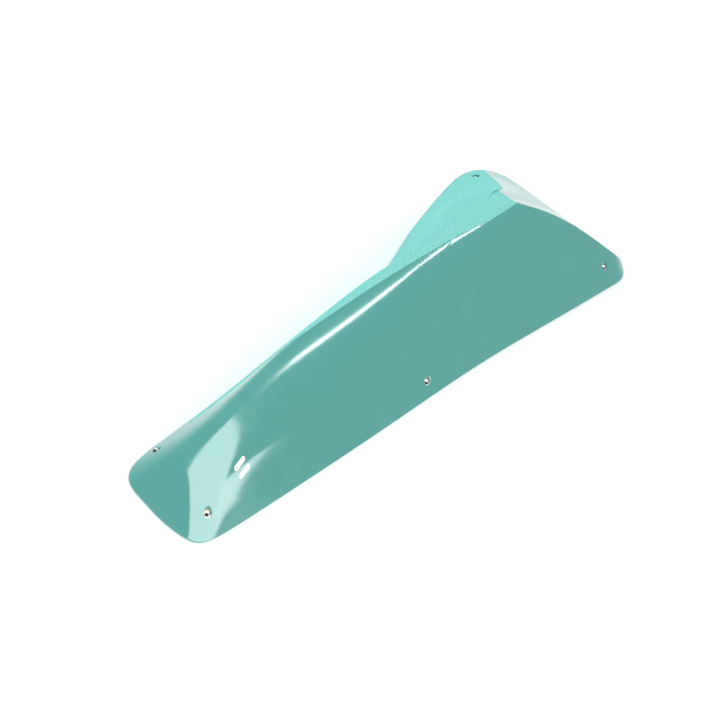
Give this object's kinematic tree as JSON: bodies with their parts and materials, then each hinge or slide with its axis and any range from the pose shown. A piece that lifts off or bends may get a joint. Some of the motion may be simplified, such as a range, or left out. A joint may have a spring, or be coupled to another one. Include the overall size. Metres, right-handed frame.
{
  "type": "climbing macro volume",
  "caption": "Long hollow fibreglass climbing macro with a glossy front, a gritty back and lobe, recessed screw holes and a ribbed wooden inside.",
  "frame": {"origin": "middle of the outline's box on the wall plane", "axes": "+Z away from the wall, +X from the slim nose to the wide end, +Y from the glossy front face to the textured back"},
  "size_m": [1.2026, 0.3796, 0.1827],
  "materials": {
    "gelcoat": "glossy pigmented polyester gelcoat, polished from the mould",
    "laminate": "hand-laid glass mat in polyester resin, rough on the inside",
    "grip_coat": "fine mineral grit sealed in matte pigmented resin",
    "mark_ink": "white print under the gloss",
    "cup_steel": "turned stainless steel",
    "hardwood": "sawn beech, raw",
    "plywood": "sawn birch plywood, raw, with its plies showing at the edges"
  },
  "bodies": {
    "root": {"gelcoat_skin": "gelcoat", "laminate_shell": "laminate", "grip_texture": "grip_coat", "printed_mark": "mark_ink", "nose_front_screw_cup": "cup_steel", "nose_front_block": "hardwood", "nose_back_screw_cup": "cup_steel", "nose_back_block": "hardwood", "middle_front_screw_cup": "cup_steel", "middle_front_block": "hardwood", "wide_front_screw_cup": "cup_steel", "wide_front_block": "hardwood", "lobe_screw_cup": "cup_steel", "lobe_block": "hardwood", "nose_rib": "plywood", "middle_rib": "plywood", "wide_rib": "plywood", "nose_spine": "plywood", "middle_spine": "plywood", "wide_spine": "plywood"}
  },
  "joints": []
}
